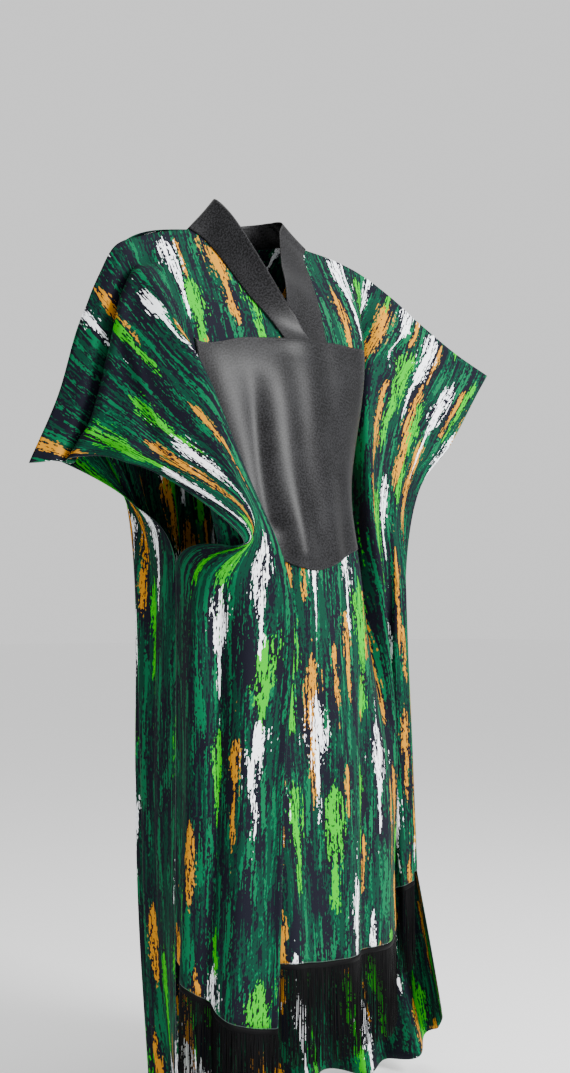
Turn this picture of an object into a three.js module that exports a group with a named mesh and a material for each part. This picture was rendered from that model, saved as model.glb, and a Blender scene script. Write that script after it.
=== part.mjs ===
// A wide kaftan of printed cotton, as it hangs when worn: the wearer's right arm down, the left arm out.
// Millimetres. +X is the wearer's left, -Y the front, +Z up; the origin is between the shoulders, where
// the wearer carries the cloth. Each sheet is a grid of columns, which hang from the shoulder line to the
// hem, and its wall is that grid moved half a thickness each way.
import * as THREE from 'three';

// ---------------------------------------------------------------- driving dimensions
const COTTON = 1.6; // wall of the printed cotton
const SATIN = 1.4; // wall of the collar and the chest panel
const SEAM = 0.3; // space between two pieces at a seam
const ON_TOP = 0.7; // space under a piece that lies on another
const HALF_WIDTH = 650; // neck centre to selvedge, flat
const NECK_HALF = 100; // neck centre to the end of the shoulder seam, flat
const V_SIDE = 20; // the point of the V sits this far to the wearer's left
const PANEL_HALF = 180; // chest panel, half width
const FRINGE_LENGTH = 150;
const FRINGE_HEADING = 8; // height of the woven strip that the strands hang from
const STRANDS_PER_COLUMN = 3;

// ---------------------------------------------------------------- the shoulder line
// Where the front and the back meet: s is the flat distance from the neck centre.
const shoulderLine = [
  { name: 'cuff_right', s: -650, at: [-393, 40, -409] },
  { name: 'forearm_right', s: -503, at: [-338, 30, -272] },
  { name: 'elbow_right', s: -392, at: [-311, 20, -165] },
  { name: 'arm_right', s: -322, at: [-287, 10, -100] },
  { name: 'point_right', s: -280, at: [-268, 4, -61] },
  { name: 'shoulder_right', s: -209, at: [-206, 0, -31] },
  { name: 'neck_right', s: -75, at: [-75, 0, -2] },
  { name: 'neck_left', s: 75, at: [75, 0, -2] },
  { name: 'shoulder_left', s: 232, at: [230, 0, -25] },
  { name: 'arm_left', s: 343, at: [333, 5, -66] },
  { name: 'elbow_left', s: 449, at: [428, 15, -112] },
  { name: 'cuff_left', s: 650, at: [608, 45, -166] },
];

// ---------------------------------------------------------------- the front, one row a fold line
// Each fold line hangs from the shoulder line through five places: the chest, the turned edge that the
// sleeve makes over the ribs, the waist, the knee and the hem.
const frontFolds = [
  { name: 'selvedge_right', s: -650, chest: [-272, -60, -407], edge: [-151, -185, -529],
    waist: [-190, -60, -560], knee: [-189, -60, -862], hem: [-187, -60, -1164] },
  { name: 'sleeve_low', s: -540, chest: [-255, -88, -395], edge: [-140, -190, -512],
    waist: [-182, -128, -605], knee: [-186, -132, -900], hem: [-189, -118, -1205] },
  { name: 'sleeve_mid', s: -430, chest: [-242, -92, -335], edge: [-140, -184, -475],
    waist: [-132, -170, -605], knee: [-142, -172, -905], hem: [-158, -165, -1243] },
  { name: 'pleat_edge', s: -330, chest: [-232, -88, -240], edge: [-157, -160, -392],
    waist: [-66, -192, -605], knee: [-82, -194, -910], hem: [-93, -194, -1254] },
  { name: 'pleat_fold', s: -275, chest: [-222, -82, -170], edge: [-170, -132, -300],
    waist: [-100, -166, -600], knee: [-110, -164, -900], hem: [-116, -162, -1230] },
  { name: 'pleat_back', s: -225, chest: [-207, -80, -170], edge: [-194, -110, -345],
    waist: [-144, -130, -600], knee: [-140, -132, -895], hem: [-142, -130, -1200] },
  { name: 'panel_right', s: -180, chest: [-182, -98, -214], edge: [-158, -107, -430],
    waist: [-114, -122, -600], knee: [-112, -124, -890], hem: [-108, -124, -1180] },
  { name: 'chest_right', s: -90, chest: [-92, -108, -205], edge: [-88, -138, -430],
    waist: [-62, -146, -600], knee: [-45, -150, -890], hem: [-30, -160, -1178] },
  { name: 'centre', s: 0, chest: [0, -112, -198], edge: [-2, -144, -430],
    waist: [12, -156, -600], knee: [30, -150, -890], hem: [40, -150, -1187] },
  { name: 'chest_left', s: 90, chest: [92, -104, -194], edge: [82, -130, -430],
    waist: [90, -134, -600], knee: [104, -134, -890], hem: [104, -134, -1188] },
  { name: 'panel_left', s: 180, chest: [176, -80, -190], edge: [140, -88, -430],
    waist: [162, -96, -600], knee: [180, -108, -890], hem: [178, -108, -1191] },
  { name: 'valley_near', s: 230, chest: [206, -40, -188], edge: [170, -34, -430],
    waist: [196, -42, -600], knee: [226, -84, -890], hem: [226, -88, -1193] },
  { name: 'valley', s: 285, chest: [220, 18, -190], edge: [198, 50, -430],
    waist: [216, 36, -600], knee: [266, -32, -880], hem: [268, -54, -1188] },
  { name: 'wing_edge', s: 340, chest: [224, -40, -222], edge: [211, -52, -450],
    waist: [252, -36, -600], knee: [304, -20, -880], hem: [302, -14, -1150] },
  { name: 'wing_mid', s: 430, chest: [326, -6, -262], edge: [285, -4, -440],
    waist: [304, 8, -600], knee: [322, 34, -880], hem: [330, 16, -1134] },
  { name: 'wing_low', s: 540, chest: [424, 24, -292], edge: [352, 14, -436],
    waist: [344, -2, -600], knee: [362, 4, -880], hem: [364, 4, -1120] },
  { name: 'selvedge_left', s: 650, chest: [510, 45, -306], edge: [406, 30, -412],
    waist: [370, 26, -600], knee: [384, 28, -852], hem: [398, 30, -1104] },
];

// ---------------------------------------------------------------- the back, one row a fold line
// The side seams are the front's, and go on down to the longer back hem.
const backFolds = [
  { name: 'selvedge_right', s: -650, chest: [-326, 90, -393], edge: [-192, 78, -454],
    waist: [-190, -60, -560], knee: [-189, -60, -862], hem: [-187, -60, -1164], floor: [-180, -60, -1466] },
  { name: 'side_right', s: -540, chest: [-299, 83, -328], edge: [-184, 84, -458],
    waist: [-196, 4, -590], knee: [-188, 4, -890], hem: [-174, 4, -1180], floor: [-140, 4, -1478] },
  { name: 'sleeve_right', s: -400, chest: [-262, 84, -240], edge: [-172, 104, -450],
    waist: [-150, 84, -600], knee: [-146, 80, -890], hem: [-136, 78, -1180], floor: [-111, 81, -1490] },
  { name: 'shoulder_right', s: -250, chest: [-196, 96, -200], edge: [-136, 112, -430],
    waist: [-104, 120, -600], knee: [-98, 130, -890], hem: [-86, 138, -1180], floor: [-52, 148, -1494] },
  { name: 'blade_right', s: -120, chest: [-108, 108, -200], edge: [-66, 116, -430],
    waist: [-46, 128, -600], knee: [-36, 146, -890], hem: [-20, 156, -1180], floor: [18, 168, -1496] },
  { name: 'centre', s: 0, chest: [0, 106, -200], edge: [8, 112, -430],
    waist: [22, 126, -600], knee: [40, 150, -890], hem: [62, 166, -1180], floor: [96, 178, -1498] },
  { name: 'blade_left', s: 120, chest: [112, 108, -200], edge: [92, 114, -430],
    waist: [96, 124, -600], knee: [124, 150, -890], hem: [156, 172, -1180], floor: [204, 184, -1500] },
  { name: 'shoulder_left', s: 250, chest: [216, 98, -210], edge: [178, 110, -430],
    waist: [176, 116, -600], knee: [210, 142, -890], hem: [262, 166, -1180], floor: [326, 182, -1500] },
  { name: 'sleeve_left', s: 400, chest: [344, 82, -250], edge: [262, 98, -430],
    waist: [258, 100, -600], knee: [296, 118, -885], hem: [362, 140, -1170], floor: [440, 140, -1492] },
  { name: 'side_left', s: 540, chest: [450, 72, -300], edge: [350, 84, -450],
    waist: [326, 66, -600], knee: [356, 74, -860], hem: [434, 90, -1130], floor: [520, 102, -1430] },
  { name: 'selvedge_left', s: 650, chest: [520, 88, -316], edge: [420, 76, -440],
    waist: [370, 26, -600], knee: [384, 28, -852], hem: [398, 30, -1104], floor: [474, 46, -1378] },
];

// Soft folds laid over the fold lines. A fold runs straight between two places on the flat cloth, each
// given by s and by its station: 0 the shoulder line, 1 the chest ... 5 the front hem, 6 the back hem.
const frontCreases = [
  { name: 'sleeve_valley', from: [-240, 0.3], to: [-650, 0.42], halfWidth: 24, depth: -22 },
  { name: 'cuff_tuck', from: [-540, 0.8], to: [-650, 0.95], halfWidth: 40, depth: 12 },
  { name: 'side_fold', from: [-560, 3.2], to: [-575, 5], halfWidth: 28, depth: 14 },
  { name: 'thigh_hollow', from: [-490, 3.0], to: [-500, 5], halfWidth: 26, depth: -14 },
  { name: 'thigh_fold', from: [-420, 3.1], to: [-430, 5], halfWidth: 26, depth: 8 },
  { name: 'skirt_hollow', from: [-40, 3.4], to: [-50, 5], halfWidth: 34, depth: -8 },
  { name: 'skirt_fold', from: [60, 3.6], to: [70, 5], halfWidth: 34, depth: 9 },
  { name: 'skirt_hollow_left', from: [135, 3.6], to: [150, 5], halfWidth: 26, depth: -10 },
  { name: 'wing_hollow', from: [385, 1.2], to: [390, 3.4], halfWidth: 24, depth: -10 },
  { name: 'wing_fold', from: [480, 1.0], to: [485, 5], halfWidth: 28, depth: 12 },
  { name: 'wing_hollow_low', from: [590, 1.5], to: [590, 5], halfWidth: 26, depth: -9 },
];
// starts and full are stations; drift moves the waves off an even spacing, over driftLength of cloth
const backPleats = {
  count: 9, reach: 560, depth: 26, starts: 0.8, full: 3.4, fadeWidth: 90, drift: 0.6, driftLength: 90,
};
const WAIST = 3; // the station where the sleeve openings end and the side seams begin
const backYoke = { depth: 46, rounding: 0.6, from: 150, to: 300 }; // fullness over the shoulder blades

// ---------------------------------------------------------------- smooth lines through table rows
/** The value at `at` of a smooth curve through values given at keys. The slope at a key is the mean of
 * its two neighbours' slopes, the nearer one counting more. */
function through(keys, values, at) {
  const last = keys.length - 1;
  let i = 0;
  while (i < last - 1 && at > keys[i + 1]) i += 1;
  const slope = (k) => (values[k + 1] - values[k]) / (keys[k + 1] - keys[k]);
  const tangent = (k) => {
    if (k === 0) return slope(0);
    if (k === last) return slope(last - 1);
    const before = keys[k] - keys[k - 1];
    const after = keys[k + 1] - keys[k];
    return (slope(k - 1) * after + slope(k) * before) / (before + after);
  };
  const span = keys[i + 1] - keys[i];
  const f = (at - keys[i]) / span;
  const rise = values[i + 1] - values[i];
  const a = tangent(i) * span - rise;
  const b = rise - tangent(i + 1) * span;
  return values[i] + f * rise + f * (1 - f) * (a * (1 - f) + b * f);
}

/** The same curve for places: each of x, y and z by itself. */
const placeThrough = (keys, places, at) =>
  new THREE.Vector3(...[0, 1, 2].map((axis) => through(keys, places.map((p) => p[axis]), at)));

const shoulderKeys = shoulderLine.map((row) => row.s);
const shoulderPlaces = shoulderLine.map((row) => row.at);
const shoulderAt = (s) => placeThrough(shoulderKeys, shoulderPlaces, s);
const smooth = (x, from, to) => THREE.MathUtils.smoothstep(x, from, to);

// ---------------------------------------------------------------- a sheet of the garment
/** The unfolded form: the fold lines' places at station v, joined across at s. Below the waist a selvedge
 * is a side seam, which hangs straight. */
function hangingPlace(folds, stations, s, v) {
  const keys = [...stations.keys(), stations.length];
  const places = folds.map((fold) => {
    const down = [shoulderAt(fold.s).toArray(), ...stations.map((station) => fold[station])];
    if (Math.abs(fold.s) < HALF_WIDTH || v <= WAIST) return placeThrough(keys, down, v).toArray();
    const above = Math.min(Math.floor(v), stations.length - 1);
    return new THREE.Vector3(...down[above]).lerp(new THREE.Vector3(...down[above + 1]), v - above).toArray();
  });
  return placeThrough(folds.map((fold) => fold.s), places, s);
}

const STATION = 220; // about the length of cloth from one station to the next
const CREASE_END = 0.25; // a crease fades in over this share of its length
const FRONT_STIFF = 0.3; // above this station the front's creases fade out towards the shoulder seam

/** How far a crease moves the cloth out at (s, v): most on its line, fading over its half width. */
function creaseDepth(crease, s, v) {
  const a = new THREE.Vector2(crease.from[0], crease.from[1] * STATION);
  const b = new THREE.Vector2(crease.to[0], crease.to[1] * STATION);
  const p = new THREE.Vector2(s, v * STATION);
  const along = b.clone().sub(a);
  const f = THREE.MathUtils.clamp(p.clone().sub(a).dot(along) / along.lengthSq(), 0, 1);
  const away = p.distanceTo(a.addScaledVector(along, f)) / crease.halfWidth;
  return crease.depth * Math.exp(-away * away) * smooth(f, -CREASE_END, CREASE_END);
}

const frontStations = ['chest', 'edge', 'waist', 'knee', 'hem'];
const backStations = [...frontStations, 'floor'];

/** The back's pleats: a row of even waves that deepen towards the hem and die out at the sides. */
function pleatDepth(s, v) {
  const { count, reach, depth, starts, full, fadeWidth, drift, driftLength } = backPleats;
  const wave = Math.cos((s / reach) * Math.PI * count + drift * Math.sin(s / driftLength));
  return depth * wave * smooth(v, starts, full) * (1 - smooth(Math.abs(s), reach - fadeWidth, reach));
}

/** The back's roundness between the neck and the shoulder blades. */
function yokeDepth(s, v) {
  const { depth, rounding, from, to } = backYoke;
  return depth * Math.sin(Math.PI * Math.min(v, 1) ** rounding) * (1 - smooth(Math.abs(s), from, to));
}

const front = {
  place: (s, v) => hangingPlace(frontFolds, frontStations, s, v),
  depth: (s, v) => {
    const total = frontCreases.reduce((sum, crease) => sum + creaseDepth(crease, s, v), 0);
    return total * smooth(v, 0, FRONT_STIFF);
  },
  outward: -1,
};
const back = {
  place: (s, v) => hangingPlace(backFolds, backStations, s, v),
  depth: (s, v) => pleatDepth(s, v) + yokeDepth(s, v),
  outward: 1,
};

const STEP_ACROSS = 4; // distance either side of a place, for its normal
const STEP_DOWN = 0.02; // the same in stations

/** The outward normal of a sheet's unfolded form. */
function normalAt(sheet, s, v, lastStation) {
  const left = sheet.place(Math.min(s + STEP_ACROSS, HALF_WIDTH), v);
  const right = sheet.place(Math.max(s - STEP_ACROSS, -HALF_WIDTH), v);
  const low = sheet.place(s, Math.min(v + STEP_DOWN, lastStation));
  const high = sheet.place(s, Math.max(v - STEP_DOWN, 0));
  return left.sub(right).cross(low.sub(high)).normalize().multiplyScalar(sheet.outward);
}

/** The whole grid of a sheet: for each column and row its middle place. */
function sheetGrid(sheet, columns, rowsAt, lastStation) {
  return columns.map((s) => rowsAt(s).map((v) => {
    const out = normalAt(sheet, s, v, lastStation);
    return sheet.place(s, v).addScaledVector(out, sheet.depth(s, v));
  }));
}

/** Normals of a grid of places, from its neighbours across and down. */
function gridNormals(grid, outward) {
  const within = (i, count) => THREE.MathUtils.clamp(i, 0, count - 1);
  const pick = (c, r) => grid[within(c, grid.length)][within(r, grid[0].length)];
  return grid.map((column, c) => column.map((_, r) => {
    const across = pick(c + 1, r).clone().sub(pick(c - 1, r));
    const down = pick(c, r + 1).clone().sub(pick(c, r - 1));
    return across.cross(down).normalize().multiplyScalar(outward);
  }));
}

// ---------------------------------------------------------------- walls
function geometryOf(points, faces) {
  const geometry = new THREE.BufferGeometry();
  geometry.setAttribute('position', new THREE.Float32BufferAttribute(points.flatMap((p) => p.toArray()), 3));
  geometry.setIndex(faces);
  geometry.computeVertexNormals();
  return geometry;
}

/** A closed solid from two grids of places that face each other, outer and inner. */
function wallGeometry(outer, inner, outward) {
  const columns = outer.length;
  const rows = outer[0].length;
  const points = [...outer.flat(), ...inner.flat()];
  const faces = [];
  const at = (side, c, r) => side * columns * rows + c * rows + r;
  const quad = (a, b, c, d) => faces.push(a, b, c, a, c, d);
  for (let c = 0; c < columns - 1; c += 1) {
    for (let r = 0; r < rows - 1; r += 1) {
      quad(at(0, c, r), at(0, c, r + 1), at(0, c + 1, r + 1), at(0, c + 1, r));
      quad(at(1, c, r), at(1, c + 1, r), at(1, c + 1, r + 1), at(1, c, r + 1));
    }
    quad(at(0, c, 0), at(0, c + 1, 0), at(1, c + 1, 0), at(1, c, 0));
    quad(at(0, c, rows - 1), at(1, c, rows - 1), at(1, c + 1, rows - 1), at(0, c + 1, rows - 1));
  }
  for (let r = 0; r < rows - 1; r += 1) {
    quad(at(0, 0, r), at(1, 0, r), at(1, 0, r + 1), at(0, 0, r + 1));
    quad(at(0, columns - 1, r), at(0, columns - 1, r + 1), at(1, columns - 1, r + 1), at(1, columns - 1, r));
  }
  if (outward > 0) {
    for (let i = 0; i < faces.length; i += 3) [faces[i + 1], faces[i + 2]] = [faces[i + 2], faces[i + 1]];
  }
  return geometryOf(points, faces);
}

/** The grid moved along its normals. */
const moved = (grid, normals, distance) =>
  grid.map((column, c) => column.map((p, r) => p.clone().addScaledVector(normals[c][r], distance)));

const object = new THREE.Group();
const fabric = (name, color, roughness) =>
  new THREE.MeshStandardMaterial({ name, color, roughness, metalness: 0 });
const cotton = fabric('printed_cotton', 0x1d5c45, 0.75);
const satin = fabric('black_satin', 0x4a4a4c, 0.4);
const fringe = fabric('black_fringe', 0x141414, 0.55);

function addPiece(name, geometry, material) {
  const mesh = new THREE.Mesh(geometry, material.clone());
  mesh.name = name;
  object.add(mesh);
}

// ---------------------------------------------------------------- front and back
const COLUMN = 30; // aim for the width of a grid column
const columnKeys = [...frontFolds.map((fold) => fold.s), -NECK_HALF, NECK_HALF, V_SIDE].sort((a, b) => a - b);
const columns = columnKeys.slice(0, -1).flatMap((s, i) => {
  const width = columnKeys[i + 1] - s;
  const parts = Math.max(1, Math.round(width / COLUMN));
  return Array.from({ length: parts }, (_, k) => s + (width * k) / parts);
}).concat([HALF_WIDTH]);

const V_POINT = 0.93; // station of the V's point
const NAPE = 0.16; // station of the back neckline's lowest place

/** Where the front neckline cuts a column: 0 outside the neck, down to the point of the V. */
function vNeck(s) {
  const side = s < V_SIDE ? NECK_HALF + V_SIDE : NECK_HALF - V_SIDE;
  return V_POINT * Math.max(0, 1 - Math.abs(s - V_SIDE) / side);
}
const roundNeck = (s) => NAPE * Math.max(0, 1 - (s / NECK_HALF) ** 2);

const ROWS_ABOVE_CHEST = 5;
const ROWS_BELOW_CHEST = 18;
const ROWS_BELOW_FRONT_HEM = 4;
const HEM = frontStations.length;
const FLOOR = backStations.length;
const rowsFrom = (start) => [
  ...Array.from({ length: ROWS_ABOVE_CHEST }, (_, r) => start + (1 - start) * (r / ROWS_ABOVE_CHEST)),
  ...Array.from({ length: ROWS_BELOW_CHEST + 1 }, (_, r) => 1 + ((HEM - 1) * r) / ROWS_BELOW_CHEST),
];
const rowsBelowHem = Array.from({ length: ROWS_BELOW_FRONT_HEM }, (_, r) =>
  HEM + ((r + 1) * (FLOOR - HEM)) / ROWS_BELOW_FRONT_HEM);

const frontGrid = sheetGrid(front, columns, (s) => rowsFrom(vNeck(s)), HEM);
const backGrid = sheetGrid(back, columns, (s) => [...rowsFrom(roundNeck(s)), ...rowsBelowHem], FLOOR);
const frontNormals = gridNormals(frontGrid, front.outward);
const backNormals = gridNormals(backGrid, back.outward);

/** Both sheets get one normal where they meet, and stand half a seam away from each other there. */
function joinSeam(c, r) {
  const shared = frontNormals[c][r].clone().add(backNormals[c][r]).normalize();
  const inwardFront = frontGrid[c][r === 0 ? 1 : r].clone().sub(frontGrid[c][r]);
  const towardsFront = r === 0
    ? inwardFront
    : frontGrid[c === 0 ? 1 : c - 1][r].clone().sub(frontGrid[c][r]);
  towardsFront.addScaledVector(shared, -towardsFront.dot(shared)).normalize();
  frontNormals[c][r].copy(shared);
  backNormals[c][r].copy(shared);
  frontGrid[c][r].addScaledVector(towardsFront, SEAM / 2);
  backGrid[c][r].addScaledVector(towardsFront, -SEAM / 2);
}
const WAIST_ROW = ROWS_ABOVE_CHEST + Math.round((ROWS_BELOW_CHEST * 2) / (HEM - 1));
columns.forEach((s, c) => {
  if (Math.abs(s) >= NECK_HALF) joinSeam(c, 0);
});
for (const c of [0, columns.length - 1]) {
  for (let r = WAIST_ROW; r < frontGrid[c].length; r += 1) joinSeam(c, r);
}

function wallOn(grid, normals, thickness, outward) {
  return wallGeometry(moved(grid, normals, thickness / 2), moved(grid, normals, -thickness / 2), outward);
}
addPiece('front', wallOn(frontGrid, frontNormals, COTTON, front.outward), cotton);
addPiece('back', wallOn(backGrid, backNormals, COTTON, back.outward), cotton);

// ---------------------------------------------------------------- chest panel
// Cut with a straight top and a blunt point, and sewn flat on the front: its grid is the front's, moved out.
const PANEL_SIDE_END = 2.62; // station where the panel's sides end
const PANEL_POINT = 2.86; // station of its point
const rowAt = (v) => ROWS_ABOVE_CHEST + ((v - 1) * ROWS_BELOW_CHEST) / (HEM - 1);
const WIDEST_LAST_ROW = 1.1; // a last row wider than this is divided at a row of the front

/** The row where the blunt point ends a panel column. */
function panelBottomRow(s) {
  const side = smooth(Math.abs(s) / PANEL_HALF, 0, 1);
  return rowAt(PANEL_POINT + (PANEL_SIDE_END - PANEL_POINT) * side);
}

/** The rows of one panel column, each a row number of the front's grid that may end in a fraction. */
function panelRows(s) {
  const bottom = panelBottomRow(s);
  const lastWhole = Math.floor(rowAt(PANEL_SIDE_END));
  const whole = Array.from({ length: lastWhole - ROWS_ABOVE_CHEST + 1 }, (_, r) => ROWS_ABOVE_CHEST + r);
  const between = bottom > lastWhole + WIDEST_LAST_ROW ? lastWhole + 1 : (lastWhole + bottom) / 2;
  return [...whole, between, bottom];
}
const betweenRows = (line, row) => line[Math.floor(row)].clone().lerp(line[Math.floor(row) + 1], row % 1);
const panelColumns = columns.map((s, c) => c).filter((c) => Math.abs(columns[c]) <= PANEL_HALF);
const panelLayer = (distance) => {
  const layer = moved(frontGrid, frontNormals, distance);
  return panelColumns.map((c) => panelRows(columns[c]).map((row) => betweenRows(layer[c], row)));
};
const panelUnder = COTTON / 2 + ON_TOP;
const panelWall = wallGeometry(panelLayer(panelUnder + SATIN), panelLayer(panelUnder), front.outward);
addPiece('chest_panel', panelWall, satin);

// ---------------------------------------------------------------- collar
// Two satin bands that meet at the centre back, stand round the neck and cross at the V. Each row gives
// the band's outer edge, which lies on the cotton, and its inner edge, which frames the neck.
const collarRight = [
  { name: 'centre_back', outer: [-0.15, 80, -25], inner: [-0.15, 58, 30] },
  { name: 'back_side', outer: [-78, 64, -15], inner: [-50, 44, 44] },
  { name: 'neck_side', outer: [-129, 5, -5], inner: [-78, 2, 51] },
  { name: 'shoulder', outer: [-108, -17, -23], inner: [-70, -24, 30] },
  { name: 'collarbone', outer: [-88, -41, -61], inner: [-54, -48, -9] },
  { name: 'chest', outer: [-64, -78, -118], inner: [-28, -84, -82] },
  { name: 'v_point', outer: [-44, -98, -151], inner: [-3, -107, -139] },
  { name: 'panel_edge', outer: [-17, -116.5, -196], inner: [38, -121, -193] },
];
const collarLeft = [
  { name: 'centre_back', outer: [0.15, 80, -25], inner: [0.15, 58, 30] },
  { name: 'back_side', outer: [72, 64, -15], inner: [42, 44, 38] },
  { name: 'neck_side', outer: [114, 4, 1], inner: [62, 2, 36] },
  { name: 'shoulder', outer: [100, -19, -19], inner: [42, -20, 8] },
  { name: 'collarbone', outer: [94, -41, -60], inner: [26, -46, -50] },
  { name: 'chest', outer: [86, -71, -106], inner: [10, -78, -92] },
  { name: 'v_point', outer: [78, -97, -154], inner: [-1, -97, -139] },
  { name: 'panel_edge', outer: [75, -111, -193], inner: [-12, -113, -195] },
];
const COLLAR_STEPS = 2; // grid rows between two rows of the table
const COLLAR_ACROSS = 3;

/** A band's grid: smooth along both edges, straight across. */
function bandGrid(rows) {
  const keys = [...rows.keys()];
  const count = (rows.length - 1) * COLLAR_STEPS;
  return Array.from({ length: count + 1 }, (_, i) => {
    const outer = placeThrough(keys, rows.map((row) => row.outer), i / COLLAR_STEPS);
    const inner = placeThrough(keys, rows.map((row) => row.inner), i / COLLAR_STEPS);
    return Array.from({ length: COLLAR_ACROSS + 1 }, (_, j) => outer.clone().lerp(inner, j / COLLAR_ACROSS));
  });
}

function addBand(name, rows, outward) {
  const grid = bandGrid(rows);
  const normals = gridNormals(grid, outward);
  normals[0].forEach((normal) => normal.setX(0).normalize()); // square to the seam at the centre back
  addPiece(name, wallOn(grid, normals, SATIN, outward), satin);
}
addBand('collar_right', collarRight, -1);
addBand('collar_left', collarLeft, 1);

// ---------------------------------------------------------------- fringe
// A woven heading follows the front hem, with a row of strands whose tops are woven into it.
const HEADING_SEAM = 0.8; // drop from the hem to the heading
const FRINGE_REACH = 590; // the fringe stops short of the side seams
const STRAND_TAPER = 0.5;
const DROP = new THREE.Vector3(0, 0, -1);

/** Places along the hem, finer than the columns: two for each strand, one for each space. */
function alongHem(layer) {
  const ends = columns.map((s, c) => ({ s, at: layer[c].at(-1) }));
  const hem = ends.filter(({ s }) => Math.abs(s) <= FRINGE_REACH);
  const steps = 2 * STRANDS_PER_COLUMN;
  const places = hem.slice(0, -1).flatMap(({ at }, i) =>
    Array.from({ length: steps }, (_, k) => at.clone().lerp(hem[i + 1].at, k / steps)));
  return [...places, hem.at(-1).at];
}

function fringeGeometry() {
  const outer = alongHem(moved(frontGrid, frontNormals, COTTON / 2));
  const inner = alongHem(moved(frontGrid, frontNormals, -COTTON / 2));
  const points = [];
  const faces = [];
  const add = (p) => points.push(p) - 1;
  const quad = (a, b, c, d) => faces.push(a, b, c, a, c, d);
  const ring = outer.map((_, i) => [
    add(outer[i].clone().addScaledVector(DROP, HEADING_SEAM)),
    add(inner[i].clone().addScaledVector(DROP, HEADING_SEAM)),
    add(inner[i].clone().addScaledVector(DROP, HEADING_SEAM + FRINGE_HEADING)),
    add(outer[i].clone().addScaledVector(DROP, HEADING_SEAM + FRINGE_HEADING)),
  ]);
  for (let i = 0; i < ring.length - 1; i += 1) {
    const [a, b] = [ring[i], ring[i + 1]];
    quad(a[0], a[3], b[3], b[0]);
    quad(a[1], b[1], b[2], a[2]);
    quad(a[0], b[0], b[1], a[1]);
    if (i % 2 === 0) {
      quad(a[3], a[2], b[2], b[3]);
    } else {
      const roots = [a[3], a[2], b[2], b[3]];
      const total = roots.reduce((sum, k) => sum.add(points[k]), new THREE.Vector3());
      const middle = total.multiplyScalar(1 / roots.length);
      const tipOf = (k) => points[k].clone().lerp(middle, STRAND_TAPER).addScaledVector(DROP, FRINGE_LENGTH);
      const tips = roots.map((k) => add(tipOf(k)));
      roots.forEach((root, k) => quad(root, roots[(k + 1) % 4], tips[(k + 1) % 4], tips[k]));
      quad(...tips);
    }
  }
  const [first, last] = [ring[0], ring.at(-1)];
  quad(first[0], first[1], first[2], first[3]);
  quad(last[3], last[2], last[1], last[0]);
  return geometryOf(points, faces);
}
addPiece('fringe', fringeGeometry(), fringe);

export default object;
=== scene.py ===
"""A wide batwing kaftan of printed cotton with a satin collar, a satin chest panel and a fringed front hem.

The garment hangs from the wearer's shoulders with the right arm down and the left arm out. Metres in the
scene, millimetres in the tables: +X is the wearer's left, -Y the front, +Z up.
"""

import math

import bpy
import numpy as np
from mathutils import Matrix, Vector
from mathutils.bvhtree import BVHTree


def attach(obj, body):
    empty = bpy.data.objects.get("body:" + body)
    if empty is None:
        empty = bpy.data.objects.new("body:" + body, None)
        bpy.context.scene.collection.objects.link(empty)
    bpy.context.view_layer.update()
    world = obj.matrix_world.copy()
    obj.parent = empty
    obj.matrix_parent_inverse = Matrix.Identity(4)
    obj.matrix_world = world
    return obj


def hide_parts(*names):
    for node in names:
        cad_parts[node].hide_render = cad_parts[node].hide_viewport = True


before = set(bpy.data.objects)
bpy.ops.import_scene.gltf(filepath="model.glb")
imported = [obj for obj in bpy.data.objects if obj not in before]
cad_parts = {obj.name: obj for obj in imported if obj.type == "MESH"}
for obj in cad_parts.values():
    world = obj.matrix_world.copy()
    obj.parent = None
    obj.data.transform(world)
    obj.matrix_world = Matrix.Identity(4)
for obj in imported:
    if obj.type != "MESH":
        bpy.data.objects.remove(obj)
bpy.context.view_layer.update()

# ------------------------------------------------------------------ front
# One width of printed cotton, selvedge to selvedge, with a V neckline and a rounded hem. It is sewn to the
# back along the shoulder line and down the side seams. The sleeve's mouth is its selvedge above the waist,
# turned in 10 mm; below the waist the selvedge is the side seam.
MM = 0.001

# The cut: s is the flat distance from the neck centre, and a station v counts the places down the cloth:
# 0 the shoulder line, 1 the chest, 2 the sleeve's lower edge, 3 the waist, 4 the knee, 5 the front hem,
# 6 the back hem.
HALF_WIDTH = 650
NECK_HALF = 100  # neck centre to the end of the shoulder seam
V_SIDE = 20  # the point of the V sits this far to the wearer's left
V_POINT = 0.93  # station of the V's point
WAIST = 3
FRONT_HEM = 5
STATION = 220  # mm of cloth that a crease or a ripple takes for one station
FRONT_STIFF = 0.3  # above this station the folds fade out towards the shoulder seam
SHOULDER_LINE = [  # name, s, place
    ("cuff_right", -650, (-393, 40, -409)),
    ("forearm_right", -503, (-338, 30, -272)),
    ("elbow_right", -392, (-311, 20, -165)),
    ("arm_right", -322, (-287, 10, -100)),
    ("point_right", -280, (-268, 4, -61)),
    ("shoulder_right", -209, (-206, 0, -31)),
    ("neck_right", -75, (-75, 0, -2)),
    ("neck_left", 75, (75, 0, -2)),
    ("shoulder_left", 232, (230, 0, -25)),
    ("arm_left", 343, (333, 5, -66)),
    ("elbow_left", 449, (428, 15, -112)),
    ("cuff_left", 650, (608, 45, -166)),
]
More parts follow.
